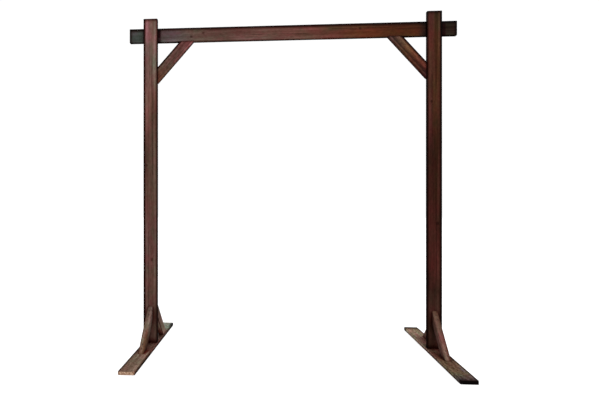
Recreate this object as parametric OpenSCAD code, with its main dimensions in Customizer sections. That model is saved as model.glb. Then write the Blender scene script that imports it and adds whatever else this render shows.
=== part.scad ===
// Freestanding timber wedding arch: flat posts on strutted foot boards,
// with a cross beam lapped into the backs of the posts and steadied by knee braces.
// Millimetres. +X runs along the beam, +Y towards the back, +Z up.
// The origin lies on the ground, half way between the posts
// and half way along the foot boards.

/* [Posts and beam] */
// Clear width of the walk-through, from post to post
clear_width = 1975; // [1200:5:2600]
// Width of each post, as seen from the front
post_width = 106; // [70:1:140]
// Depth of each post, front to back
post_depth = 38; // [30:1:100]
// Length of each post, from its foot board to its top
post_length = 2438; // [1800:2:3000]
// Height of each post's head above the beam
post_head = 69; // [20:1:200]
// Height of the beam's section
beam_height = 106; // [60:1:140]
// Depth of the beam's section, front to back
beam_depth = 38; // [30:1:100]
// Length of beam that runs on past each post
beam_overhang = 110; // [40:1:300]
// Depth of the notch in the back of each post that seats the beam
lap_depth = 19; // [12:0.5:24]
// Space left above the beam in its notch
lap_clearance = 0.5; // [0:0.1:2]

/* [Knee braces] */
// Height that a knee brace takes up on its post
knee_rise = 310; // [220:5:600]
// Length that a knee brace takes up along the beam
knee_run = 275; // [220:5:600]
// Width of the knee brace's board, square across its slope
knee_width = 80; // [50:1:110]
// Thickness of the knee brace's board
knee_thickness = 38; // [19:1:40]

/* [Feet] */
// Length of each foot board, front to back
foot_length = 1360; // [1000:10:1800]
// Width of each foot board
foot_width = 110; // [80:5:200]
// Thickness of each foot board
foot_thickness = 25; // [18:1:50]
// Distance that the posts stand behind the middle of the foot boards
post_setback = 25; // [0:5:100]
// Height that a front strut takes up on its post
front_strut_rise = 275; // [180:5:500]
// Length that a front strut takes up along its foot board
front_strut_reach = 305; // [180:5:380]
// Height that a back strut takes up on its post
back_strut_rise = 285; // [180:5:500]
// Length that a back strut takes up along its foot board
back_strut_reach = 325; // [180:5:380]
// How far the right face of a back strut lies inside its post's right face
back_strut_inset = 2; // [1:1:50]
// Width of the foot strut's board, square across its slope
strut_width = 75; // [50:1:100]
// Thickness of the foot strut's board
strut_thickness = 38; // [19:1:60]

/* [Hidden] */

// Sides of the arch
LEFT = -1;
RIGHT = 1;

// Plan: centre lines and faces, with the back struts' centre lines to the right of the posts'
post_x = (clear_width + post_width) / 2;
post_y = post_setback;
post_front_y = post_y - post_depth / 2;
post_back_y = post_y + post_depth / 2;
lap_y = post_back_y - lap_depth;
knee_y = lap_y + lap_depth / 2;
back_strut_shift = (post_width - strut_thickness) / 2 - back_strut_inset;
beam_length = clear_width + 2 * (post_width + beam_overhang);

// Heights
post_bottom = foot_thickness;
beam_bottom = post_bottom + post_length - post_head - beam_height;

// How far a cut reaches past the face it opens
cut_past = 1;

// Stain colours
post_stain = [0.35, 0.24, 0.20];
beam_stain = [0.38, 0.25, 0.22];
knee_stain = [0.39, 0.26, 0.23];
foot_stain = [0.42, 0.35, 0.29];
strut_stain = [0.43, 0.32, 0.27];

// Outline of a board that leans across a corner: the corner is at the origin,
// the board stands rise high on one leg and run long on the other,
// and both of its ends are cut to lie flat on the legs.
function leaning_board(rise, run, width) =
    let (slope = atan2(rise, run))
    [
        [0, rise],
        [run, 0],
        [run - width / sin(slope), 0],
        [0, rise - width / cos(slope)]
    ];

// A leaning board as a solid, upright in the XZ plane and centred on Y
module diagonal(rise, run, width, thickness) {
    rotate([90, 0, 0])
        linear_extrude(height = thickness, center = true)
            polygon(leaning_board(rise, run, width));
}

// A flat post with the beam's notch in its back
module post(side) {
    color(post_stain)
        difference() {
            translate([side * post_x - post_width / 2, post_front_y, post_bottom])
                cube([post_width, post_depth, post_length]);
            translate([side * post_x - post_width / 2 - cut_past, lap_y, beam_bottom])
                cube([
                    post_width + 2 * cut_past,
                    lap_depth + cut_past,
                    beam_height + lap_clearance
                ]);
        }
}

// The beam, seated against the bottom of both notches
module top_beam() {
    color(beam_stain)
        translate([-beam_length / 2, lap_y, beam_bottom])
            cube([beam_length, beam_depth, beam_height]);
}

// A brace from the post's inner face up to the beam's underside
module knee_brace(side) {
    color(knee_stain)
        translate([side * clear_width / 2, knee_y, beam_bottom])
            mirror([side > 0 ? 1 : 0, 0, 0])
                mirror([0, 0, 1])
                    diagonal(knee_rise, knee_run, knee_width, knee_thickness);
}

// A flat board on the ground that carries the post and its struts
module foot_board(side) {
    color(foot_stain)
        translate([side * post_x - foot_width / 2, -foot_length / 2, 0])
            cube([foot_width, foot_length, foot_thickness]);
}

// A strut from the post's front face down to the foot board, on the post's centre line
module front_strut(side) {
    color(strut_stain)
        translate([side * post_x, post_front_y, foot_thickness])
            rotate([0, 0, -90])
                diagonal(front_strut_rise, front_strut_reach, strut_width, strut_thickness);
}

// A strut from the post's back face down to the foot board, near the post's right face:
// both feet are made alike, not as mirror images
module back_strut(side) {
    color(strut_stain)
        translate([side * post_x + back_strut_shift, post_back_y, foot_thickness])
            rotate([0, 0, 90])
                diagonal(back_strut_rise, back_strut_reach, strut_width, strut_thickness);
}

post(LEFT);  // left_post
post(RIGHT);  // right_post
top_beam();
knee_brace(LEFT);  // left_knee_brace
knee_brace(RIGHT);  // right_knee_brace
foot_board(LEFT);  // left_foot_board
foot_board(RIGHT);  // right_foot_board
front_strut(LEFT);  // left_front_strut
back_strut(LEFT);  // left_back_strut
front_strut(RIGHT);  // right_front_strut
back_strut(RIGHT);  // right_back_strut
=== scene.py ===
"""Looks for the timber wedding arch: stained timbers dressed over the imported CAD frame, in metres."""

import math
from typing import NamedTuple

import bpy
from mathutils import Matrix, Vector, noise


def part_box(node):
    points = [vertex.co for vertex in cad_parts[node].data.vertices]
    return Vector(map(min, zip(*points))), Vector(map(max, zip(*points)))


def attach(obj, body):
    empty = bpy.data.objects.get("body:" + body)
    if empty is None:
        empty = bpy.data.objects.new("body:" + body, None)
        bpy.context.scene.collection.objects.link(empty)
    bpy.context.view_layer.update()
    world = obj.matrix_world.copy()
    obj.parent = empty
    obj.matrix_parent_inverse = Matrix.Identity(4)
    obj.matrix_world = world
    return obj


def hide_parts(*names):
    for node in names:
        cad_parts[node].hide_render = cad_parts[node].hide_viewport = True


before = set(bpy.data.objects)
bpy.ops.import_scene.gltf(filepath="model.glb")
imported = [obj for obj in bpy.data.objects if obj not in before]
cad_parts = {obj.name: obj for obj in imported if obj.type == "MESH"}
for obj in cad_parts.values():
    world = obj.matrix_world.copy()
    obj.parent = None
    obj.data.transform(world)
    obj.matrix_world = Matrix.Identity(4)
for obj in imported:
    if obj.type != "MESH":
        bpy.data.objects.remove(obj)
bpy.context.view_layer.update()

# ---- sizes, in metres

POST_ARRIS = 0.005  # radius of the eased edges on the posts and the beam
BOARD_ARRIS = 0.0035  # radius of the eased edges on the braces and the feet
CUT_EDGE = 0.0025  # rounding round an open saw cut
SEAT_EDGE = 0.0006  # rounding round a cut that is pressed against another timber
FOOT_CORNER = 0.009  # rounding of a foot board's corners, seen from above
LAP_GAP = 0.0005  # space left above the beam in its notches
CUT_PAST = 0.01  # how far a cutter reaches past the face that it opens
CHECK_HALF_WIDTH = 0.0009  # half the width of a drying check
CHECK_STRAY = 0.003  # how far a check may stray across the grain
RELIEF = 0.0005  # depth of the planed surface's slow unevenness
DENT_FROM = 0.32  # the noise, of 1 at most, above which an eased edge is dented
DENT_DEPTH = 0.003  # how deep it is dented for each 1 of noise above that
SAW_MARK = 0.0002  # how far an end cut lies inside its plane on average

STATION = 0.008  # spacing of mesh rings along a timber
MESH_STEP = 0.006  # spacing of mesh points across a face
ARC_STEPS = 4  # mesh steps round an eased edge
END_TURNS = (90, 60, 30, 0)  # degrees round an end cut's edge, one for each mesh ring
END_RINGS = (0.97, 0.82, 0.6, 0.35, 0.15)  # mesh rings on an end cut, as shares of its outline
CHECK_PULL = 0.014  # how far to its sides a check that strays pulls the mesh
TIMBER_CREASE = 34  # degrees above which a timber's faces meet sharply
STEEL_CREASE = 30  # and a fastener's

SCREW_RADIUS = 0.0038  # radius of its flat head
SCREW_SUNK = 0.0012  # how far the head's top lies inside the board's edge
SCREW_HOLE = 0.0043  # radius of the seat that is cut for it
SCREW_HOLE_DEPTH = 2.2 * SCREW_SUNK
SCREW_STEPS = (0.042, 0.078)  # how far the screws lie from each end of a leaning board
BOLT_RADIUS = 0.0075  # radius of its head's corners
BOLT_SPREAD = (0.018, 0, 0.02)  # how far a lap's two bolts lie from its middle
WASHER_RADIUS = 0.0125
WASHER_THICKNESS = 0.002


# ---- timber meshes


class Check(NamedTuple):
    """A drying check: a crack along the grain of one face of a timber."""

    face: str  # which local face: "+y", "-y", "+z" or "-z"
    offset: float  # place across the face, from its middle
    start: float  # where it opens along the timber
    end: float  # where it closes
    depth: float


class Edge(NamedTuple):
    """How dark the stain is along one eased edge, and how far that reaches onto its two faces."""

    shade: float = 0.75
    before: float = 0.005  # reach on the face that the section's outline comes from
    after: float = 0.005  # reach on the face that it goes on to
    rubbed_highlight: float = 0.0  # wear and a painted highlight: how much lighter the faces are just past that reach


class Shading(NamedTuple):
    """How much a timber's stain is darkened or lightened along its edges, on whole faces and at its end
    cuts. The values multiply it; those of the faces are painted shade and painted light.
    """

    edges: dict = {}  # by the two faces that meet there, such as "-z+y"
    # painted shade and painted light: a whole face darker or lighter for how the light falls on it
    faces: dict = {}
    tips: tuple = (0.5, 0.5)  # at the two end cuts
    tip_reaches: tuple = (0.012, 0.012)


class RimPoint(NamedTuple):
    """A point of a timber's section, in the local YZ plane."""

    y: float
    z: float
    out: tuple  # outward normal
    inside: float  # distance to the nearest eased edge, along the face
    shade: float  # how dark the edges, and the painted shade and light of the face, make the stain here
    face: str
    across: float  # place across the face, from its middle
    check: object  # the check whose bottom this point is, or None


class MeshPoint(NamedTuple):
    """A point of a timber's mesh, and what its stain goes by. The defaults are an end cut's."""

    place: tuple
    inside: float = 0.02
    shade: float = 1.0
    groove: float = 0.0
    cap: float = 1.0  # 0 off the end cuts


# The faces in order round a section, anticlockwise seen from its +X end:
# each face's outward normal, and the way its points run
FACES = {
    "+z": ((0, 1), (-1, 0)),
    "-y": ((-1, 0), (0, -1)),
    "-z": ((0, -1), (1, 0)),
    "+y": ((1, 0), (0, 1)),
}
NEXT_FACE = {"+z": "-y", "-y": "-z", "-z": "+y", "+y": "+z"}


def ripple(x, y, z):
    """Smooth noise at a point, from -1 to 1."""
    return noise.noise(Vector((x, y, z)))


def spread(half, checks):
    """Places across a face, evenly spaced, with three close together at each check."""
    count = max(2, round(2 * half / MESH_STEP))
    places = [(-half + 2 * half * i / count, None) for i in range(count + 1)]
    for check in checks:
        near = 2.5 * CHECK_HALF_WIDTH
        places = [p for p in places if abs(p[0]) == half or abs(p[0] - check.offset) > near]
        places += [
            (check.offset - CHECK_HALF_WIDTH, None),
            (check.offset, check),
            (check.offset + CHECK_HALF_WIDTH, None),
        ]
    return sorted(places, key=lambda place: place[0])


EDGE_FADE = 1.6  # how steeply a dark edge ends at its reach
RUBBED_HIGHLIGHT_MIDDLE = 1.3  # how far from the edge the lighter line of wear and painted highlight lies, in that reach
RUBBED_HIGHLIGHT_HALF = 0.6  # half its width, likewise


def edge_shade(shade, distance, reach, rubbed_highlight=0.0):
    """The stain's strength at a distance from a dark edge, with a lighter line of wear and painted
    highlight past its reach.
    """
    near = min(1.0, max(0.0, EDGE_FADE * (1 - distance / reach)))
    beside = max(0.0, 1 - abs(distance / reach - RUBBED_HIGHLIGHT_MIDDLE) / RUBBED_HIGHLIGHT_HALF)
    return (1 - (1 - shade) * near) * (1 + rubbed_highlight * beside)


def section(width, depth, radius, checks, shading):
    """The points round a rectangular section with eased edges."""
    points = []
    for face, (out, along) in FACES.items():
        previous = next(f for f in FACES if NEXT_FACE[f] == face)
        first = shading.edges.get(previous + face, Edge())
        last = shading.edges.get(face + NEXT_FACE[face], Edge())
        # the painted shade and light of this face
        own = shading.faces.get(face, 1.0)
        both = (own + shading.faces.get(NEXT_FACE[face], 1.0)) / 2
        reach, half = (depth / 2, width / 2) if out[0] == 0 else (width / 2, depth / 2)
        half -= radius
        for across, check in spread(half, [c for c in checks if c.face == face]):
            y = out[0] * reach + along[0] * across
            z = out[1] * reach + along[1] * across
            shade = own * edge_shade(first.shade, across + half, first.after, first.rubbed_highlight)
            shade *= edge_shade(last.shade, half - across, last.before, last.rubbed_highlight)
            points.append(RimPoint(y, z, out, half - abs(across), shade, face, across, check))
        for step in range(1, ARC_STEPS):
            turn = math.pi / 2 * step / ARC_STEPS
            normal = tuple(math.cos(turn) * o + math.sin(turn) * a for o, a in zip(out, along))
            y = out[0] * (reach - radius) + along[0] * half + radius * normal[0]
            z = out[1] * (reach - radius) + along[1] * half + radius * normal[1]
            points.append(RimPoint(y, z, normal, 0.0, both * last.shade, "arc", 0.0, None))
    return points


def check_opening(check, x):
    """How open a check is at x, from 0 to 1."""
    if not check.start < x < check.end:
        return 0.0
    part = (x - check.start) / (check.end - check.start)
    ragged = 0.75 + 0.5 * ripple(x * 60, check.offset * 900, 0)
    return min(1.0, math.sin(math.pi * part) ** 0.7 * ragged)


def wander(check, x):
    """How far a check strays across the grain at x."""
    return CHECK_STRAY * ripple(x * 2.2, check.offset * 700, 3.1)


def relief(x, point, seed):
    """How far the surface lies under the nominal face: slow unevenness, and dents along the edges."""
    slow = ripple(x * 3.0, point.y * 22 + seed, point.z * 22)
    depth = RELIEF * 0.5 * (1 + slow)
    if point.face == "arc":
        dent = ripple(x * 14, seed * 3 + point.out[0] * 5, point.out[1] * 5)
        depth += max(0.0, dent - DENT_FROM) * DENT_DEPTH
    return depth


def corner_cut(y, width, corner):
    """How much shorter a timber is at y, where its end's corners are rounded in plan."""
    past = abs(y) - (width / 2 - corner)
    if corner == 0 or past <= 0:
        return 0.0
    return corner - math.sqrt(max(0.0, corner**2 - past**2))


def end_stations(radius):
    """Offsets from an end cut, and how far the section shrinks there, round its eased edge."""
    turns = [math.radians(t) for t in END_TURNS]
    return [(radius * (1 - math.sin(t)), radius * (1 - math.cos(t))) for t in turns]


def skin(rings, count):
    """The faces between neighbouring rings, each of count points."""
    faces = []
    for ring in range(rings - 1):
        near, far = ring * count, (ring + 1) * count
        for i in range(count):
            j = (i + 1) % count
            faces.append((near + i, near + j, far + j, far + i))
    return faces


def side_point(point, station, cuts, checks, shading, seed):
    """A point of the section on a timber's side, moved in where there is a dent or a check."""
    share, offset, inset = station
    start, finish = cuts
    at = (1 - share) * start(point.y) + share * finish(point.y) + offset
    sunk = inset + relief(at, point, seed)
    groove, shift = 0.0, 0.0
    for check in checks:
        if check.face == point.face:
            shift += wander(check, at) * math.exp(-(((point.across - check.offset) / CHECK_PULL) ** 2))
    if point.check:
        groove = check_opening(point.check, at)
        sunk += groove * point.check.depth
    along = FACES[point.face][1] if point.face in FACES else (0, 0)
    y = point.y - point.out[0] * sunk + along[0] * shift
    z = point.z - point.out[1] * sunk + along[1] * shift
    x = (1 - share) * start(y) + share * finish(y) + offset
    shade = point.shade * edge_shade(shading.tips[0], x - start(y), shading.tip_reaches[0])
    shade *= edge_shade(shading.tips[1], finish(y) - x, shading.tip_reaches[1])
    return MeshPoint((x, y, z), point.inside, shade, groove, 0.0)


def end_cut(points, faces, end, first, count, cut, seed):
    """Closes a timber's start (end 0) or finish (end 1) with rings of points round its middle."""
    inward = 1 if end == 0 else -1
    outer = range(first, first + count)
    for shrink in END_RINGS:
        ring = range(len(points), len(points) + count)
        for i in range(count):
            _, y, z = points[first + i].place
            y, z = y * shrink, z * shrink
            rough = SAW_MARK * (1 + ripple(y * 400, z * 400, seed + end))
            points.append(MeshPoint((cut(y) + inward * rough, y, z)))
        for i in range(count):
            j = (i + 1) % count
            faces.append((outer[i], ring[i], ring[j], outer[j])[::inward])
        outer = ring
    middle = len(points)
    points.append(MeshPoint((cut(0.0), 0.0, 0.0)))
    for i in range(count):
        faces.append((outer[i], middle, outer[(i + 1) % count])[::inward])


def timber(name, size, *, arris, rounds, shading, seed, checks=(), miters=(0.0, 0.0), corner=0.0):
    """A solid timber along local +X, with eased edges, dents and drying checks.

    size is its length, width and depth, and rounds are the edge radii of its two end cuts.
    A miter is how far an end cut runs along X for each metre across Y, from the +Y edge.
    """
    length, width, depth = size

    def start(y):
        return miters[0] * (y - width / 2) + corner_cut(y, width, corner)

    def finish(y):
        return length + miters[1] * (y - width / 2) - corner_cut(y, width, corner)

    # A station is a share of the length, an offset from there and how far the section shrinks
    steps = max(4, round(length / STATION))
    stations = [(0.0, offset, inset) for offset, inset in end_stations(rounds[0])]
    stations += [(i / steps, 0.0, 0.0) for i in range(1, steps)]
    stations += [(1.0, -offset, inset) for offset, inset in reversed(end_stations(rounds[1]))]

    rim = section(width, depth, arris, checks, shading)
    count = len(rim)
    points = [
        side_point(point, station, (start, finish), checks, shading, seed)
        for station in stations
        for point in rim
    ]
    faces = skin(len(stations), count)
    end_cut(points, faces, 0, 0, count, start, seed)
    end_cut(points, faces, 1, (len(stations) - 1) * count, count, finish, seed)

    piece = mesh_piece(name, [point.place for point in points], faces)
    for key in ("inside", "shade", "groove", "cap"):
        values = [getattr(point, key) for point in points]
        piece.data.attributes.new(key, "FLOAT", "POINT").data.foreach_set("value", values)
    return piece


def new_object(name, data):
    """A new object in the scene."""
    made = bpy.data.objects.new(name, data)
    bpy.context.scene.collection.objects.link(made)
    return made


def mesh_piece(name, verts, faces):
    """A new object with a mesh of its own."""
    mesh = bpy.data.meshes.new(name)
    mesh.from_pydata(verts, [], faces)
    mesh.update()
    return new_object(name, mesh)


CUT_SHADE = 0.8  # painted shade in a notch or a screw's seat: what the stain is multiplied by there


def cut_away(piece, cutter):
    """Cuts one object's solid out of another for good, and gives the cut painted shade."""
    change = piece.modifiers.new("cut", "BOOLEAN")
    change.operation = "DIFFERENCE"
    change.solver = "EXACT"
    change.object = cutter
    bpy.context.view_layer.update()
    evaluated = piece.evaluated_get(bpy.context.evaluated_depsgraph_get())
    mesh = bpy.data.meshes.new_from_object(evaluated)
    old = piece.data
    piece.modifiers.clear()
    piece.data = mesh
    bpy.data.meshes.remove(old)
    mesh.name = piece.name
    for mark in mesh.attributes["shade"].data:
        if mark.value == 0:
            mark.value = CUT_SHADE
    bpy.data.objects.remove(cutter)


def turn(along, across):
    """The rotation that takes local X to one direction and local Y to another."""
    along, across = Vector(along).normalized(), Vector(across).normalized()
    return Matrix((along, across, along.cross(across))).transposed().to_4x4()


def settle(piece, place, node, material):
    """Puts a timber where it belongs, keeping its own coordinates as the grain's."""
    mesh = piece.data
    grain = mesh.attributes.new("grain", "FLOAT_VECTOR", "POINT")
    grain.data.foreach_set("vector", [c for v in mesh.vertices for c in v.co])
    mesh.transform(place)
    mesh.materials.clear()
    mesh.materials.append(material)
    mesh.shade_smooth()
    mesh.set_sharp_from_angle(angle=math.radians(TIMBER_CREASE))
    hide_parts(node)
    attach(piece, "root")


# ---- fasteners


def lathe(rings, count):
    """Points and faces of a solid of rings round +Z. A ring is its height and a radius for each angle."""
    verts = []
    for height, radius in rings:
        for i in range(count):
            a = 2 * math.pi * i / count
            verts.append((radius(a) * math.cos(a), radius(a) * math.sin(a), height))
    faces = skin(len(rings), count)
    faces.append(tuple(range(count))[::-1])
    faces.append(tuple(range((len(rings) - 1) * count, len(rings) * count)))
    return verts, faces


def even(radius):
    """A round ring."""
    return lambda angle: radius


def star(radius, swing):
    """A ring with six soft points."""
    return lambda angle: radius * (1 + swing * math.cos(6 * angle))


def hexagon(radius):
    """A six-sided ring with its corners at the radius."""
    return lambda angle: radius * math.cos(math.pi / 6) / math.cos((angle % (math.pi / 3)) - math.pi / 6)


def screw_shape():
    """A flat screw head with a star recess, its top at the origin."""
    r = SCREW_RADIUS
    rings = [
        (-0.6 * r, even(0.7 * r)),  # the cone under the head
        (-0.12 * r, even(r)),  # the rim
        (-0.03 * r, even(0.97 * r)),
        (0, even(0.9 * r)),
        (0, star(0.47 * r, 0.13)),  # the recess
        (-0.05 * r, star(0.44 * r, 0.14)),
        (-0.4 * r, star(0.38 * r, 0.14)),
    ]
    return lathe(rings, count=36)


def bolt_shape():
    """A hexagonal head on a washer, which lies on the plane Z = 0."""
    w, r, t = WASHER_RADIUS, BOLT_RADIUS, WASHER_THICKNESS
    rings = [
        (0, even(w)),  # the washer
        (0.75 * t, even(w)),
        (t, even(0.96 * w)),
        (t, even(1.1 * r)),  # the head's collar
        (1.1 * t, even(1.02 * r)),
        (1.1 * t, hexagon(r)),  # the head
        (1.1 * t + 0.5 * r, hexagon(r)),
        (1.1 * t + 0.62 * r, even(0.82 * r)),
        (1.1 * t + 0.65 * r, even(0.7 * r)),
    ]
    return lathe(rings, count=48)


def copies(shape, places):
    """The points and faces of one copy of a shape at each place."""
    verts, faces = [], []
    for place in places:
        base = len(verts)
        verts += [place @ Vector(v) for v in shape[0]]
        faces += [tuple(base + i for i in face) for face in shape[1]]
    return verts, faces


def fasteners(name, shape, places, material):
    """A set of like fasteners as one piece, one at each place."""
    piece = mesh_piece(name, *copies(shape, places))
    piece.data.materials.append(material)
    piece.data.shade_smooth()
    piece.data.set_sharp_from_angle(angle=math.radians(STEEL_CREASE))
    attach(piece, "root")


FACING_Y = Matrix.Rotation(-math.pi / 2, 4, "X")  # turns a fastener that faces +Z to +Y


def sink_holes(piece, spots, width):
    """Cuts a seat for a screw at each spot along a board's +Y edge."""
    hole = lathe([(-SCREW_HOLE_DEPTH, even(SCREW_HOLE)), (CUT_PAST, even(SCREW_HOLE))], count=24)
    places = [Matrix.Translation((x, width / 2, 0)) @ FACING_Y for x in spots]
    cut_away(piece, mesh_piece("holes", *copies(hole, places)))


# ---- shader building


class Shader:
    """A short way to write a node tree."""

    def __init__(self, tree):
        self.tree = tree

    def add(self, kind, inputs=None, **settings):
        node = self.tree.nodes.new("ShaderNode" + kind)
        for key, value in settings.items():
            setattr(node, key, value)
        for key, value in (inputs or {}).items():
            self.put(node.inputs[key], value)
        return node

    def put(self, socket, value):
        if isinstance(value, bpy.types.NodeSocket):
            self.tree.links.new(value, socket)
        else:
            socket.default_value = value

    def math(self, operation, a, b=0.0):
        return self.add("Math", {0: a, 1: b}, operation=operation).outputs[0]

    def product(self, *values):
        result = values[0]
        for value in values[1:]:
            result = self.math("MULTIPLY", result, value)
        return result

    def vector(self, operation, a, b=(0, 0, 0)):
        node = self.add("VectorMath", {0: a, 1: b}, operation=operation)
        return node.outputs["Value" if operation in ("LENGTH", "DOT_PRODUCT") else "Vector"]

    def join(self, x, y, z):
        return self.add("CombineXYZ", {"X": x, "Y": y, "Z": z}).outputs[0]

    def spans(self, value, low, high, to_low=0.0, to_high=1.0):
        inputs = {"Value": value, "From Min": low, "From Max": high, "To Min": to_low, "To Max": to_high}
        return self.add("MapRange", inputs, clamp=True).outputs["Result"]

    def vary(self, value, low, high):
        """Spreads a noise, which mostly keeps between 0.3 and 0.7, from low to high."""
        return self.spans(value, 0.3, 0.7, low, high)

    def noise(self, vector, detail=2.0, roughness=0.5):
        inputs = {"Vector": vector, "Scale": 1.0, "Detail": detail, "Roughness": roughness}
        return self.add("TexNoise", inputs)

    def mix(self, factor, a, b, blend="MIX"):
        node = self.add("Mix", data_type="RGBA", blend_type=blend)
        for index, value in ((0, factor), (6, a), (7, b)):
            self.put(node.inputs[index], (*value, 1) if isinstance(value, tuple) else value)
        return node.outputs[2]

    def tint(self, colour, by):
        """A colour times another one, channel by channel."""
        return self.mix(1.0, colour, by, "MULTIPLY")

    def deepen(self, colour, amount):
        """A stain colour times an amount of stain and painted shade: a higher amount is greyer and a lower
        one redder, as thinner and thicker stain are.
        """
        red = self.math("POWER", amount, 0.75)
        blue = self.math("POWER", amount, 1.1)
        light = self.add("CombineColor", {0: red, 1: amount, 2: blue}).outputs[0]
        return self.tint(colour, light)

    def ramp(self, factor, stops):
        node = self.add("ValToRGB", {"Fac": factor})
        ramp = node.color_ramp
        while len(ramp.elements) < len(stops):
            ramp.elements.new(1.0)
        for element, (place, colour) in zip(ramp.elements, stops):
            element.position = place
            element.color = (*colour, 1.0) if isinstance(colour, tuple) else (colour, colour, colour, 1.0)
        return node.outputs["Color"]

    def attribute(self, name, output="Fac"):
        return self.add("Attribute", attribute_name=name).outputs[output]


def new_material(name):
    """An empty material and a shader writer for it."""
    material = bpy.data.materials.new(name)
    material.use_nodes = True
    material.node_tree.nodes.clear()
    return material, Shader(material.node_tree)


def finish_material(s, surface):
    s.tree.links.new(surface.outputs[0], s.add("OutputMaterial").inputs["Surface"])


def tone(red, green, blue):
    """A colour given on the usual 0 to 255 scale, as linear light."""

    def line(value):
        value /= 255
        return value / 12.92 if value <= 0.04045 else ((value + 0.055) / 1.055) ** 2.4

    return (line(red), line(green), line(blue))


FIGURE_INPUTS = {"Vector": "Vector", "Pith": "Vector", "Seed": "Float"}
FIGURE_OUTPUTS = ("Ring", "Streak", "Fine", "Fibre", "Patch", "Hue", "Speck")
GRAIN_BEND = (0, 0.022, 0.022)  # how far the grain wanders, from side to side
RINGS_PER_METRE = 170
RING_STOPS = ((0.0, 0.15), (0.45, 0.1), (0.88, 1.0), (0.97, 0.9), (1.0, 0.15))  # one year's growth


def figure_group():
    """Wood figure in a timber's own coordinates: rings, streaks, fibres, patches and specks."""
    group = bpy.data.node_groups.new("wood_figure", "ShaderNodeTree")
    for label, kind in FIGURE_INPUTS.items():
        group.interface.new_socket(label, in_out="INPUT", socket_type="NodeSocket" + kind)
    for label in FIGURE_OUTPUTS:
        group.interface.new_socket(label, in_out="OUTPUT", socket_type="NodeSocketFloat")
    s = Shader(group)
    given = group.nodes.new("NodeGroupInput").outputs
    result = group.nodes.new("NodeGroupOutput")

    start = s.join(given["Seed"], given["Seed"], 0.0)
    place = s.vector("ADD", given["Vector"], start)
    bend = s.noise(s.vector("MULTIPLY", place, (0.9, 6.0, 6.0)), detail=2.5).outputs["Color"]
    bend = s.vector("MULTIPLY", s.vector("SUBTRACT", bend, (0.5, 0.5, 0.5)), GRAIN_BEND)
    bent = s.vector("ADD", given["Vector"], bend)
    grain = s.vector("ADD", bent, start)

    radial = s.vector("MULTIPLY", s.vector("SUBTRACT", bent, given["Pith"]), (0, 1, 1))
    uneven = s.noise(s.vector("MULTIPLY", grain, (4, 60, 60)), detail=1.0).outputs["Fac"]
    years = s.product(s.vector("LENGTH", radial), RINGS_PER_METRE)
    phase = s.math("ADD", years, s.product(uneven, 1.6))
    ring = s.ramp(s.math("FRACT", phase), RING_STOPS)

    def figure(scale, detail, roughness=0.5, origin=grain):
        """Noise that is drawn out along the grain. Its scale is per metre along X, Y and Z."""
        return s.noise(s.vector("MULTIPLY", origin, scale), detail, roughness).outputs["Fac"]

    values = {
        "Ring": ring,
        "Streak": figure((1.8, 48, 48), 2.0, 0.55),
        "Fine": figure((5, 150, 150), 3.0, 0.6),
        "Fibre": figure((25, 1100, 1100), 2.0),
        "Patch": figure((2.6, 17, 17), 1.5, origin=place),
        "Hue": figure((8, 18, 18), 4.0, 0.65, origin=s.vector("ADD", place, (31.7, 8.3, 5.9))),
        "Speck": figure((42, 80, 80), 2.0, 0.6),
    }
    for label, value in values.items():
        group.links.new(value, result.inputs[label])
    return group


FIGURE = figure_group()


class Knot(NamedTuple):
    """A knot: a branch that runs outward through the timber along a line."""

    centre: tuple
    way: tuple
    radius: float


KNOT_STRETCH = (0.75, 1, 1)  # a knot is longer along the grain
KNOT_BACK = -0.01  # where a knot begins, along its branch
KNOT_RIM = 1.25  # how far its colour reaches, in its own radii
KNOT_PULL = (3.2, 0.8)  # from where to where it bends the grain, likewise
KNOT_PUSH = (0.009, 0.006)  # how far it pushes the grain aside, along Y and Z


def knot_field(s, place, knots):
    """How deep a point lies in a knot (1 in its heart, 0 past its rim), and how hard it bends the grain."""
    inside, push = 0.0, 0.0
    for knot in knots:
        away = s.vector("SUBTRACT", place, knot.centre)
        way = Vector(knot.way).normalized()
        run = s.vector("DOT_PRODUCT", away, way)
        onto = s.add("VectorMath", {0: tuple(way), "Scale": run}, operation="SCALE").outputs[0]
        side = s.vector("MULTIPLY", s.vector("SUBTRACT", away, onto), KNOT_STRETCH)
        ratio = s.math("DIVIDE", s.vector("LENGTH", side), knot.radius)
        outward = s.math("GREATER_THAN", run, KNOT_BACK)
        inside = s.math("MAXIMUM", inside, s.product(s.spans(ratio, KNOT_RIM, 0.0), outward))
        push = s.math("MAXIMUM", push, s.product(s.spans(ratio, *KNOT_PULL), outward))
    return inside, push


class Stripe(NamedTuple):
    """A lighter or darker stripe along the grain: most are stain, and those noted where they are listed are
    painted shadow and painted highlight.
    """

    axis: str  # the axis that the stripe lies across, "Y" or "Z"
    middle: float
    half: float  # half its width
    start: float
    end: float
    tint: tuple  # what it multiplies the stain by, in red, green and blue
    fade: float = 0.1  # length over which its ends fade


class Finish(NamedTuple):
    """How one timber's stain looks. Stops are pairs of a share from 0 to 1 and a colour or strength."""

    stain: list  # colours along the timber
    length: float = 1.0  # the timber's. A leaning board puts in its own.
    width: float = 0.1  # the timber's, for across. All but the beam put in their own.
    across: tuple = ((0.0, 1.0), (1.0, 1.0))  # strength from its -Y to its +Y edge
    pith: tuple = (0.0, 0.07, 0.05)  # the tree's middle, in the timber's section
    end: tuple = (40, 28, 23)  # colour of the end cuts, for tone()
    bare_end: bool = False  # whether the far end cut is bare wood
    knots: tuple = ()
    stripes: tuple = ()
    corner_shade: tuple = (0.2, 0.04, 0.05)  # painted shade: what the tightest corners multiply the stain by
    streaks: float = 0.3  # light and dark streaks
    patches: float = 0.22  # slow light and dark patches
    hues: float = 0.22  # swing between red and olive
    specks: float = 0.15  # small light and dark specks
    rub_highlight: float = 0.22  # wear and a painted highlight: how far the faces are rubbed lighter along their edges
    rough: float = 0.5  # roughness of the sealed face
    sheen: float = 0.03  # mirror-like reflection


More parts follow.
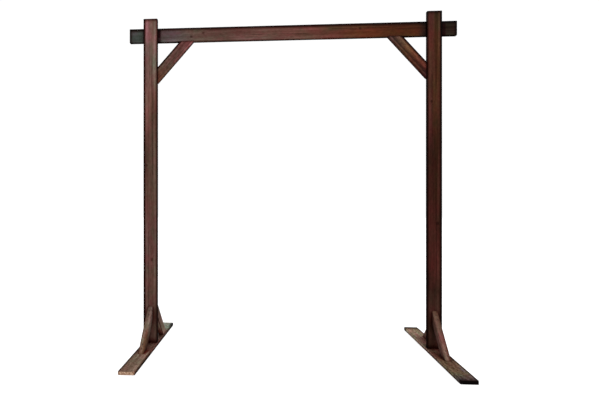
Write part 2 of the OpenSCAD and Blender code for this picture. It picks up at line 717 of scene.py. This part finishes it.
def stripe_mask(s, stripe, spot, patch):
    """Where a stripe lies, from 0 to 1. It bends with the patches and fades at its ends."""
    bend = s.spans(patch, 0.2, 0.8, -stripe.half, stripe.half)
    offset = s.math("SUBTRACT", spot[stripe.axis], stripe.middle)
    away = s.math("ABSOLUTE", s.math("ADD", offset, bend))
    return s.product(
        s.spans(away, stripe.half * 1.5, stripe.half * 0.5),
        s.spans(spot["X"], stripe.start, stripe.start + stripe.fade),
        s.spans(spot["X"], stripe.end, stripe.end - stripe.fade),
    )


STAIN_DRIFT = 0.02  # how far the stain's colours stray along the timber, as a share of it


def stain_colour(s, finish, figure, place):
    """The stain's colour, which drifts along the timber and between red and olive, times its strength
    across the timber and its stripes, which hold some painted shade and highlights.
    """
    spot = s.add("SeparateXYZ", {"Vector": place}).outputs
    along = s.math("DIVIDE", spot["X"], finish.length)
    drift = s.vary(figure["Patch"], -STAIN_DRIFT, STAIN_DRIFT)
    colour = s.ramp(s.math("ADD", along, drift), finish.stain)
    hues = finish.hues
    red = (1 + hues, 1 - hues * 0.5, 1 - hues * 0.1)
    olive = (1 - hues * 0.6, 1 + hues * 0.4, 1 - hues * 0.3)
    colour = s.tint(colour, s.mix(s.spans(figure["Hue"], 0.34, 0.66), red, olive))
    side = s.math("ADD", s.math("DIVIDE", spot["Y"], finish.width), 0.5)
    colour = s.tint(colour, s.ramp(side, finish.across))
    for stripe in finish.stripes:
        mask = stripe_mask(s, stripe, spot, figure["Patch"])
        colour = s.mix(mask, colour, s.tint(colour, stripe.tint))
    return colour, along


RUB_HIGHLIGHT_REACH = 0.03  # how far from an eased edge a face is rubbed and highlighted
RUB_HIGHLIGHT_STOPS = ((0.0, 0.0), (0.1, 0.2), (0.3, 1.0), (0.5, 0.6), (0.9, 0.0))  # how hard, over that reach


def surface_light(s, finish, figure, knot):
    """How light or dark the figure, the edges, the painted shade and light of the faces, the painted shade
    in the checks and the knots make the stain.
    """
    inside = s.math("ADD", s.attribute("inside"), s.vary(figure["Fine"], -0.0015, 0.0015))
    rub_highlight = s.ramp(s.spans(inside, 0.0, RUB_HIGHLIGHT_REACH), RUB_HIGHLIGHT_STOPS)
    return s.product(
        s.vary(figure["Streak"], 1 - finish.streaks, 1 + finish.streaks),
        s.vary(figure["Patch"], 1 - finish.patches, 1 + finish.patches),
        s.spans(figure["Speck"], 0.36, 0.64, 1 - finish.specks, 1 + finish.specks),
        s.vary(figure["Fine"], 0.8, 1.2),
        s.spans(figure["Ring"], 0.0, 1.0, 1.06, 0.84),
        s.vary(figure["Fibre"], 0.86, 1.12),
        s.spans(rub_highlight, 0.0, 1.0, 1.0, 1 + finish.rub_highlight),
        s.attribute("shade"),
        # painted shade in the checks
        s.spans(s.attribute("groove"), 0.0, 0.8, 1.0, 0.12),
        s.spans(knot, 0.0, 0.5, 1.0, 0.42),
    )


BARE_LIGHT = tone(190, 160, 136)
BARE_DARK = tone(112, 74, 52)


def end_colour(s, finish, figure, along):
    """The colour of the end cuts, where the stain soaked in or the wood is bare."""
    end = tone(*finish.end)
    light, dark = tuple(c * 1.4 for c in end), tuple(c * 0.6 for c in end)
    colour = s.mix(figure["Ring"], light, dark)
    colour = s.mix(s.spans(figure["Hue"], 0.35, 0.65, 0.0, 0.6), colour, dark)
    if finish.bare_end:
        bare = s.mix(s.spans(figure["Fine"], 0.42, 0.6), BARE_LIGHT, BARE_DARK)
        colour = s.mix(s.math("GREATER_THAN", along, 0.5), colour, bare)
    return colour


CORNER_SHADE_REACH = 0.09  # how far from a corner the painted shade reaches
CORNER_SHADE_OPEN = (0.95, 0.55)  # how open a spot is where the painted shade begins, and where it is full
BUMP_DEPTH = 0.0012


def stained_wood(name, finish, seed):
    """Stained timber, with its figure, knots, dark edges, painted shade in its corners and joints, and end
    cuts.
    """
    material, s = new_material(name)
    place = s.attribute("grain", "Vector")
    knot, push = knot_field(s, place, finish.knots)
    bulge = s.join(0.0, s.product(push, KNOT_PUSH[0]), s.product(push, KNOT_PUSH[1]))
    group = s.add("Group", node_tree=FIGURE)
    s.put(group.inputs["Vector"], s.vector("ADD", place, bulge))
    s.put(group.inputs["Pith"], finish.pith)
    s.put(group.inputs["Seed"], seed)
    figure = {label: group.outputs[label] for label in FIGURE_OUTPUTS}

    colour, along = stain_colour(s, finish, figure, place)
    colour = s.deepen(colour, surface_light(s, finish, figure, knot))
    # Painted shade: the stain darkens where ambient occlusion finds a spot closed in, in corners and joints
    open_share = s.add("AmbientOcclusion", {"Distance": CORNER_SHADE_REACH}, samples=8).outputs["AO"]
    colour = s.mix(s.spans(open_share, *CORNER_SHADE_OPEN), colour, s.tint(colour, finish.corner_shade))
    cap = s.attribute("cap")
    colour = s.mix(s.spans(cap, 0.1, 0.9), colour, end_colour(s, finish, figure, along))

    rough = s.vary(figure["Streak"], finish.rough + 0.08, finish.rough - 0.06)
    rough = s.math("ADD", rough, s.product(cap, 0.25))
    height = s.math("ADD", s.product(figure["Fibre"], 0.5), s.product(figure["Fine"], 0.6))
    height = s.math("SUBTRACT", height, s.product(figure["Ring"], 0.35))
    height = s.math("ADD", height, s.product(knot, 0.5))
    bump = s.add("Bump", {"Height": height, "Strength": 0.5, "Distance": BUMP_DEPTH}).outputs[0]
    looks = {"Base Color": colour, "Roughness": rough, "Normal": bump, "Specular IOR Level": finish.sheen}
    finish_material(s, s.add("BsdfPrincipled", looks))
    return material


def steel(name):
    """Dark coated steel, a little worn where it is rubbed."""
    material, s = new_material(name)
    place = s.add("TexCoord").outputs["Object"]
    wear = s.noise(s.vector("MULTIPLY", place, (900, 900, 900)), detail=3.0).outputs["Fac"]
    colour = s.mix(s.spans(wear, 0.45, 0.7), (0.12, 0.08, 0.06), (0.26, 0.21, 0.17))
    rough = s.vary(wear, 0.5, 0.34)
    looks = {"Base Color": colour, "Roughness": rough, "Metallic": 0.85}
    finish_material(s, s.add("BsdfPrincipled", looks))
    return material


STEEL = steel("coated_steel")


# ---- the timbers


def post(side, finish, checks, shading, seed):
    """A flat post, with the notch in its back that seats the beam."""
    low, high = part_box(side + "_post")
    beam_low, beam_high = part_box("top_beam")
    width, depth = high.x - low.x, high.y - low.y
    piece = timber(
        side + "_post_timber", (high.z - low.z, width, depth),
        arris=POST_ARRIS, rounds=(SEAT_EDGE, CUT_EDGE), checks=checks, shading=shading, seed=seed,
    )
    middle = (low + high) / 2
    notch_top = beam_high.z - low.z + LAP_GAP
    notch_bottom = beam_low.z - low.z
    notch_front = beam_low.y - middle.y
    notch_back = depth / 2 + CUT_PAST
    bpy.ops.mesh.primitive_cube_add(size=1)
    cutter = bpy.context.active_object
    cutter.location = ((notch_bottom + notch_top) / 2, 0, (notch_front + notch_back) / 2)
    cutter.scale = (notch_top - notch_bottom, width + 2 * CUT_PAST, notch_back - notch_front)
    cut_away(piece, cutter)
    place = Matrix.Translation((middle.x, middle.y, low.z)) @ turn((0, 0, 1), (1, 0, 0))
    finish = finish._replace(width=width)
    settle(piece, place, side + "_post", stained_wood(side + "_post_stain", finish, seed))


def beam(finish, checks, shading, seed):
    """The cross beam, from stub end to stub end."""
    low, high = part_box("top_beam")
    piece = timber(
        "top_beam_timber", (high.x - low.x, high.y - low.y, high.z - low.z),
        arris=POST_ARRIS, rounds=(CUT_EDGE, CUT_EDGE), checks=checks, shading=shading, seed=seed,
    )
    place = Matrix.Translation((low.x, (low.y + high.y) / 2, (low.z + high.z) / 2))
    settle(piece, place, "top_beam", stained_wood("beam_stain", finish, seed))


def leaning_board(name, node, corner, rise, run, depth, finish, shading, seed):
    """A board from rise on one leg of a corner to run on the other, with its local Y outward."""
    slope = (run - rise).normalized()
    outward = (rise + run) - slope * (rise + run).dot(slope)
    outward.normalize()
    start = corner + rise
    width = max((start - v.co).dot(outward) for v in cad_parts[node].data.vertices)
    length = (run - rise).length
    ratio = rise.length / run.length
    piece = timber(
        name, (length, width, depth), arris=BOARD_ARRIS, rounds=(SEAT_EDGE, SEAT_EDGE),
        shading=shading, miters=(-ratio, 1 / ratio), seed=seed,
    )
    spots = [x for step in SCREW_STEPS for x in (step, length - step)]
    sink_holes(piece, spots, width)
    place = Matrix.Translation(start - outward * width / 2) @ turn(slope, outward)
    finish = finish._replace(length=length, width=width)
    settle(piece, place, node, stained_wood(name + "_stain", finish, seed))
    heads = [place @ Matrix.Translation((x, width / 2 - SCREW_SUNK, 0)) @ FACING_Y for x in spots]
    fasteners(name + "_screws", screw_shape(), heads, STEEL)


def knee_brace(side, finish, shading, seed):
    """A brace from a post's inner face up to the beam's underside."""
    node = side + "_knee_brace"
    low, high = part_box(node)
    sign = 1 if side == "left" else -1
    corner = Vector((low.x if side == "left" else high.x, (low.y + high.y) / 2, high.z))
    rise = Vector((0, 0, low.z - high.z))
    run = Vector((sign * (high.x - low.x), 0, 0))
    depth = high.y - low.y
    leaning_board(side + "_knee_board", node, corner, rise, run, depth, finish, shading, seed)


def foot_strut(side, end, finish, shading, seed):
    """A strut from a post's front or back face down to its foot board."""
    node = f"{side}_{end}_strut"
    low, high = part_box(node)
    sign = -1 if end == "front" else 1
    corner = Vector(((low.x + high.x) / 2, high.y if end == "front" else low.y, low.z))
    rise = Vector((0, 0, high.z - low.z))
    run = Vector((0, sign * (high.y - low.y), 0))
    depth = high.x - low.x
    leaning_board(node + "_board", node, corner, rise, run, depth, finish, shading, seed)


def foot_board(side, finish, shading, seed):
    """A flat board on the ground, running from back to front along its local X."""
    low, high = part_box(side + "_foot_board")
    size = (high.y - low.y, high.x - low.x, high.z - low.z)
    piece = timber(
        side + "_foot_timber", size, arris=BOARD_ARRIS, rounds=(CUT_EDGE, CUT_EDGE),
        shading=shading, corner=FOOT_CORNER, seed=seed,
    )
    middle = Vector(((low.x + high.x) / 2, high.y, (low.z + high.z) / 2))
    place = Matrix.Translation(middle) @ turn((0, -1, 0), (1, 0, 0))
    finish = finish._replace(width=size[1])
    settle(piece, place, side + "_foot_board", stained_wood(side + "_foot_stain", finish, seed))


def lap_bolts(side):
    """Two bolts through the beam's back into each post."""
    post_low, post_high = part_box(side + "_post")
    beam_low, beam_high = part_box("top_beam")
    middle = Vector(((post_low.x + post_high.x) / 2, beam_high.y, (beam_low.z + beam_high.z) / 2))
    apart = Vector(BOLT_SPREAD)
    places = [Matrix.Translation(middle + sign * apart) @ FACING_Y for sign in (-1, 1)]
    fasteners(side + "_lap_bolts", bolt_shape(), places, STEEL)


STAIN_SHARE = 0.74  # the stain's own colour, as a share of how it looks under the lights


def stain(*stops):
    """Stain colours along a timber, from colours picked as they look under the lights."""
    return [(place, tuple(c * STAIN_SHARE for c in tone(*colour))) for place, colour in stops]


POST_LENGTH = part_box("left_post")[1].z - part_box("left_post")[0].z
BEAM_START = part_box("top_beam")[0].x
BEAM_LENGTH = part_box("top_beam")[1].x - BEAM_START
LEFT_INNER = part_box("left_post")[1].x - BEAM_START  # the posts' faces, along the beam
RIGHT_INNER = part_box("right_post")[0].x - BEAM_START
RIGHT_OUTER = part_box("right_post")[1].x - BEAM_START
FOOT_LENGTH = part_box("left_foot_board")[1].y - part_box("left_foot_board")[0].y

# The kinds of edge. A post's front is its -Z face and its right is its +Y face.
OUTLINE = Edge(0.03, 0.018, 0.018, 0.3)
BEAM_TOP = Edge(0.05, 0.015, 0.024, 0.2)
INNER_LINE = Edge(0.2, 0.008, 0.008, 0.25)
SOFT_LINE = Edge(0.6, 0.008, 0.008, 0.15)
# a painted highlight along an eased edge
HIGHLIGHT_LINE = Edge(1.35, 0.01, 0.01)
BRACE_LINE = Edge(0.05, 0.016, 0.016, 0.15)
BACK_LINE = Edge(0.08, 0.018, 0.018)
FOOT_LINE = Edge(0.12, 0.016, 0.016, 0.1)
STRUT_LINE = Edge(0.3, 0.006, 0.006)
SHADE_LINE = Edge(0.5, 0.012, 0.012)

JOINT_SHADE = (0.42, 0.18, 0.15)  # painted shade in the corners of the posts and the foot boards
POST_TIPS = {"tips": (0.4, 0.12), "tip_reaches": (0.03, 0.028)}


def all_round(edge):
    """The same edge at all four corners of a section."""
    return {face + following: edge for face, following in NEXT_FACE.items()}


LEFT_POST_FINISH = Finish(
    length=POST_LENGTH,
    stain=stain(
        (0, (89, 64, 58)), (0.17, (99, 70, 61)), (0.3, (107, 75, 70)), (0.44, (94, 66, 56)),
        (0.6, (97, 74, 63)), (0.75, (118, 81, 71)), (0.88, (124, 101, 93)), (1, (144, 101, 99)),
    ),
    across=(
        (0, (1, 0.94, 1.06)), (0.4, (1.02, 0.96, 1)),
        (0.7, (0.96, 1.06, 0.98)), (1, (0.96, 1.06, 1.1)),
    ),
    knots=(
        Knot((0.62, 0.012, 0), (0.25, 0.1, -1), 0.011),
        Knot((1.33, -0.02, 0), (0.2, -0.3, -1), 0.008),
        Knot((1.95, 0, 0.01), (0.2, 1, 0.2), 0.012),
    ),
    stripes=(
        Stripe("Y", 0.016, 0.008, 1.1, 2.2, (0.72, 0.7, 0.7)),
        # a painted highlight along the right edge
        Stripe("Y", 0.034, 0.004, 2.1, 2.6, (1.2, 1.4, 1.4)),
    ),
    corner_shade=JOINT_SHADE,
)
LEFT_POST_CHECKS = (
    Check("-z", -0.012, 0.25, 0.85, 0.006),
    Check("-z", 0.016, 1.25, 1.75, 0.005),
    Check("+y", 0.004, 0.7, 1.6, 0.007),
    Check("+z", -0.006, 0.3, 1.5, 0.008),
    Check("-y", 0.01, 1.1, 1.9, 0.006),
)
# Its right side face is given painted shade.
post(
    "left", LEFT_POST_FINISH, LEFT_POST_CHECKS,
    Shading(all_round(OUTLINE) | {"-z+y": INNER_LINE}, {"+y": 0.25}, **POST_TIPS),
    seed=1.7,
)

RIGHT_POST_FINISH = Finish(
    length=POST_LENGTH,
    stain=stain(
        (0, (74, 49, 39)), (0.12, (68, 42, 34)), (0.18, (54, 29, 22)), (0.25, (72, 35, 29)),
        (0.45, (61, 30, 22)), (0.6, (56, 27, 19)), (0.75, (71, 37, 25)), (0.9, (81, 43, 28)),
        (1, (66, 40, 28)),
    ),
    knots=(
        Knot((0.9, 0.015, 0), (0.2, 0.2, -1), 0.01),
        Knot((1.78, -0.018, 0), (0.2, -0.2, -1), 0.009),
    ),
    stripes=(
        Stripe("Y", -0.026, 0.018, 1.4, 2.6, (1.25, 1.2, 1.55)),
        Stripe("Y", 0.01, 0.016, 1, 2.6, (0.95, 1.12, 0.85)),
        # a painted highlight along the right edge
        Stripe("Y", 0.032, 0.005, 2, 2.6, (1.5, 1.8, 2.1)),
    ),
    corner_shade=JOINT_SHADE,
)
RIGHT_POST_CHECKS = (
    Check("-z", 0.01, 0.5, 1.25, 0.006),
    Check("-z", -0.018, 1.5, 2, 0.005),
    Check("-y", -0.006, 0.6, 1.5, 0.007),
    Check("+z", 0.008, 0.4, 1.4, 0.008),
    Check("+y", -0.01, 1, 1.8, 0.006),
)
# Its left side face is given painted shade.
post(
    "right", RIGHT_POST_FINISH, RIGHT_POST_CHECKS,
    Shading(all_round(OUTLINE) | {"-y-z": INNER_LINE}, {"-y": 0.25}, **POST_TIPS),
    seed=5.2,
)

BEAM_FINISH = Finish(
    length=BEAM_LENGTH,
    stain=stain(
        (0, (72, 80, 77)), (0.09, (84, 72, 70)), (0.13, (96, 82, 84)), (0.2, (104, 84, 74)),
        (0.28, (95, 68, 60)), (0.42, (106, 67, 61)), (0.58, (101, 62, 52)), (0.72, (90, 47, 31)),
        (0.88, (74, 39, 21)), (0.93, (44, 27, 17)), (1, (44, 32, 24)),
    ),
    pith=(0, -0.02, 0.08),
    knots=(
        Knot((0.47, 0, -0.012), (0.1, -1, -0.2), 0.008),
        Knot((0.56, 0, 0.008), (0.1, -1, 0.1), 0.007),
        Knot((1.72, 0, 0.012), (-0.1, -1, 0.2), 0.008),
    ),
    stripes=(
        # The first three stripes are painted shadow on the beam beside the posts.
        Stripe("Z", 0, 0.1, LEFT_INNER - 0.02, LEFT_INNER + 0.03, (0.2, 0.02, 0.05), 0.012),
        Stripe("Z", 0, 0.1, RIGHT_OUTER - 0.02, RIGHT_OUTER + 0.034, (0.6, 0.06, 0.06), 0.012),
        Stripe("Z", 0, 0.1, RIGHT_INNER - 0.06, RIGHT_INNER + 0.05, (0.6, 0.75, 1.1), 0.04),
        Stripe("Z", -0.022, 0.022, 1.55, RIGHT_INNER, (1.12, 1, 0.72)),
        Stripe("Z", 0.03, 0.02, 1.4, RIGHT_INNER, (0.8, 0.95, 0.8)),
        Stripe("Z", -0.04, 0.014, 0.75, 1.8, (1.1, 1.3, 1.35)),
    ),
)
BEAM_CHECKS = (
    Check("-y", 0.012, 0.75, 1.35, 0.006),
    Check("-y", -0.016, 1.5, 1.95, 0.005),
    Check("+z", 0, 0.4, 1.5, 0.008),
    Check("-z", 0.014, 1, 1.6, 0.005),
    Check("+y", 0.006, 0.6, 1.5, 0.006),
)
# Its underside is given painted shade, and its lower front edge a painted highlight.
beam(
    BEAM_FINISH, BEAM_CHECKS,
    Shading(
        all_round(OUTLINE) | {"+z-y": BEAM_TOP, "-y-z": HIGHLIGHT_LINE}, {"-z": 0.3},
        tips=(0.1, 0.1), tip_reaches=(0.026, 0.026),
    ),
    seed=3.4,
)

LEFT_BRACE_FINISH = Finish(
    stain(
        (0, (100, 62, 48)), (0.15, (96, 71, 54)), (0.35, (95, 71, 62)), (0.6, (106, 70, 66)),
        (1, (110, 68, 66)),
    ),
    across=((0, 0.9), (0.5, 1.05), (0.72, 1.1), (0.8, 0.65), (0.86, 1.35), (1, 1.5)),
    specks=0.3, streaks=0.4,
)
RIGHT_BRACE_FINISH = Finish(
    stain((0, (68, 32, 36)), (0.2, (80, 42, 32)), (0.6, (80, 54, 34)), (1, (76, 52, 48))),
    across=(
        (0, 1.5), (0.3, 2.2), (0.52, 1.5), (0.65, 1),
        (0.71, 0.5), (0.76, 0.55), (0.82, 1.1), (1, 1.2),
    ),
    specks=0.3, streaks=0.4,
)
# Its underside is given a little painted shade, and its lower front edge a painted highlight.
knee_brace(
    "left", LEFT_BRACE_FINISH,
    Shading({"-y-z": BRACE_LINE, "-z+y": HIGHLIGHT_LINE, "+y+z": BACK_LINE}, {"+y": 0.8}),
    seed=8.1,
)
knee_brace("right", RIGHT_BRACE_FINISH, Shading({"+z-y": BRACE_LINE, "-z+y": BACK_LINE}), seed=9.3)

LEFT_FOOT_FINISH = Finish(
    length=FOOT_LENGTH,
    stain=stain(
        (0, (154, 158, 144)), (0.13, (146, 148, 130)), (0.2, (112, 96, 82)), (0.5, (90, 64, 55)),
        (0.7, (126, 100, 83)), (1, (136, 110, 92)),
    ),
    stripes=(
        Stripe("Y", 0.05, 0.014, -0.1, 0.2, (0.2, 0.2, 0.24)),
        # a painted shadow on the board beside the front strut
        Stripe("Y", 0.022, 0.015, 0.86, 0.99, (0.9, 0.3, 0.28), 0.03),
        Stripe("Y", 0.056, 0.005, 0.25, 0.95, (2.3, 2.1, 2.4)),
    ),
    corner_shade=JOINT_SHADE, pith=(0, 0.02, -0.09), bare_end=True, rough=0.62, hues=0.16, specks=0.45,
)
RIGHT_FOOT_FINISH = Finish(
    length=FOOT_LENGTH,
    stain=stain(
        (0, (96, 106, 104)), (0.04, (158, 134, 108)), (0.3, (162, 134, 116)), (0.6, (116, 78, 66)),
        (0.88, (122, 104, 78)), (0.97, (92, 78, 72)), (1, (60, 52, 52)),
    ),
    stripes=(Stripe("Y", 0.035, 0.02, 1.08, 1.22, (0.75, 0.7, 1.25), 0.05),),
    corner_shade=JOINT_SHADE, pith=(0, -0.02, -0.09), end=(8, 5, 5), rough=0.62, hues=0.28, specks=0.6,
)
# Its right side face is given painted shade.
foot_board(
    "left", LEFT_FOOT_FINISH,
    Shading(
        {"+z-y": FOOT_LINE, "-z+y": FOOT_LINE}, {"+y": 0.45},
        tips=(0.6, 0.9), tip_reaches=(0.03, 0.02),
    ),
    seed=11.9,
)
# Its left side face is given painted light.
foot_board(
    "right", RIGHT_FOOT_FINISH,
    Shading(
        {"+z-y": SOFT_LINE, "-y-z": FOOT_LINE, "+y+z": FOOT_LINE}, {"-y": 2.6},
        tips=(0.12, 0.2), tip_reaches=(0.1, 0.016),
    ),
    seed=13.2,
)

TAN_STAIN = stain((0, (118, 94, 88)), (0.5, (132, 108, 94)), (1, (152, 124, 106)))
PINK_STAIN = stain((0, (108, 80, 66)), (0.5, (118, 80, 72)), (1, (130, 98, 86)))


def strut_finish(colours, **looks):
    """A strut's finish: its stain, and whatever else is its own."""
    # a strut's corners get a lighter painted shade than the posts'
    return Finish(colours, specks=0.25, corner_shade=(0.5, 0.24, 0.24), **looks)


# The front struts' strength across is painted shade, darker towards the inner edge by the post and the foot
# board.
LEFT_FRONT_FINISH = strut_finish(
    TAN_STAIN,
    across=((0, 0.4), (0.3, 0.7), (0.6, 1), (1, 1)),
    stripes=(Stripe("Z", -0.02, 0.012, 0.16, 0.6, (0.55, 0.38, 0.3)),),
)
RIGHT_FRONT_FINISH = strut_finish(PINK_STAIN, across=((0, 0.25), (0.2, 0.4), (0.42, 1), (1, 1)))
# Each strut: its side and end, its finish, its edges, where a painted highlight runs along the front
# struts' outer edge, the painted light of its side faces, and its seed.
STRUTS = (
    ("left", "front", LEFT_FRONT_FINISH, {"-z+y": HIGHLIGHT_LINE}, {"-z": 1.2}, 20.1),
    ("left", "back", strut_finish(TAN_STAIN), {}, {"+z": 1.3}, 22),
    ("right", "front", RIGHT_FRONT_FINISH, {"+y+z": HIGHLIGHT_LINE, "-z+y": SHADE_LINE}, {"+z": 1.3}, 23.8),
    ("right", "back", strut_finish(PINK_STAIN), {}, {"-z": 1.8}, 25.7),
)
for side, end, finish, edges, faces, seed in STRUTS:
    foot_strut(side, end, finish, Shading(all_round(STRUT_LINE) | edges, faces), seed)
for side in ("left", "right"):
    lap_bolts(side)

# ---- floor, light and camera

FLOOR_GLOW = 0.55  # the floor's own light, which keeps it white in the arch's shadow too
BACKDROP = 1.05  # strength of the surround behind the arch
ROOM_LIGHT = 0.2  # strength of its light from above
FLOOR_LIGHT = 0.8  # and from below, as a white floor throws it back
HORIZON = 0.2  # how far above and below the level the two blend
ROOM_GLOSS = 0.06  # strength of the surround in the arch's reflections

CAMERA_PLACE = (-0.1435, -3.997, 1.098)
CAMERA_TURN = 0.0832  # to the left of straight ahead, in radians
CAMERA_SHIFT = 0.1253  # of the picture to the right, as a share of its width
SENSOR_WIDTH = 36.0  # in millimetres
FOCAL_LENGTH = 32.4  # likewise


def studio_floor():
    """A plain white floor that throws neither light nor shadow on the arch."""
    bpy.ops.mesh.primitive_plane_add(size=60)
    floor = bpy.context.active_object
    floor.name = "studio_floor"
    material, s = new_material("floor_paint")
    looks = {
        "Base Color": (0.88, 0.88, 0.88, 1),
        "Roughness": 0.95,
        "Specular IOR Level": 0.1,
        "Emission Color": (1, 1, 1, 1),
        "Emission Strength": FLOOR_GLOW,
    }
    finish_material(s, s.add("BsdfPrincipled", looks))
    floor.data.materials.append(material)
    floor.visible_glossy = False
    floor.visible_diffuse = False
    floor.visible_shadow = False


def surround():
    """A white surround with a strength of its own for the eye, the light and the reflections."""
    world = bpy.data.worlds.new("studio")
    bpy.context.scene.world = world
    world.use_nodes = True
    world.node_tree.nodes.clear()
    s = Shader(world.node_tree)
    path = s.add("LightPath").outputs
    height = s.add("SeparateXYZ", {"Vector": s.add("TexCoord").outputs["Generated"]}).outputs["Z"]
    light = s.spans(height, -HORIZON, HORIZON, FLOOR_LIGHT, ROOM_LIGHT)
    strength = s.math("MULTIPLY", path["Is Diffuse Ray"], light)
    strength = s.math("ADD", strength, s.product(path["Is Glossy Ray"], ROOM_GLOSS))
    strength = s.math("ADD", strength, s.product(path["Is Camera Ray"], BACKDROP))
    glow = s.add("Background", {"Color": (1, 1, 1, 1), "Strength": strength}).outputs[0]
    world.node_tree.links.new(glow, s.add("OutputWorld").inputs["Surface"])


def sun(name, *, strength, azimuth, elevation, disc):
    """A sun lamp. Its angles are in degrees, and azimuth runs from the front to the right."""
    light = bpy.data.lights.new(name, "SUN")
    light.energy = strength
    light.angle = math.radians(disc)
    lamp = new_object(name, light)
    a, e = math.radians(azimuth), math.radians(elevation)
    towards = Vector((math.sin(a) * math.cos(e), -math.cos(a) * math.cos(e), math.sin(e)))
    lamp.rotation_mode = "QUATERNION"
    lamp.rotation_quaternion = towards.to_track_quat("Z", "Y")


def camera():
    """A level camera in front of the arch, a little left of its middle and turned slightly left."""
    lens = bpy.data.cameras.new("camera")
    lens.sensor_width = SENSOR_WIDTH
    lens.lens = FOCAL_LENGTH
    lens.shift_x = CAMERA_SHIFT
    lens.clip_start = 0.05
    lens.clip_end = 200.0
    view = new_object("camera", lens)
    view.location = CAMERA_PLACE
    view.rotation_euler = (math.radians(90), 0, CAMERA_TURN)
    bpy.context.scene.camera = view


studio_floor()
surround()
sun("key", strength=2.4, azimuth=12, elevation=36, disc=40)
sun("back_fill", strength=1.3, azimuth=190, elevation=45, disc=70)
camera()
bpy.context.scene.view_settings.view_transform = "Standard"
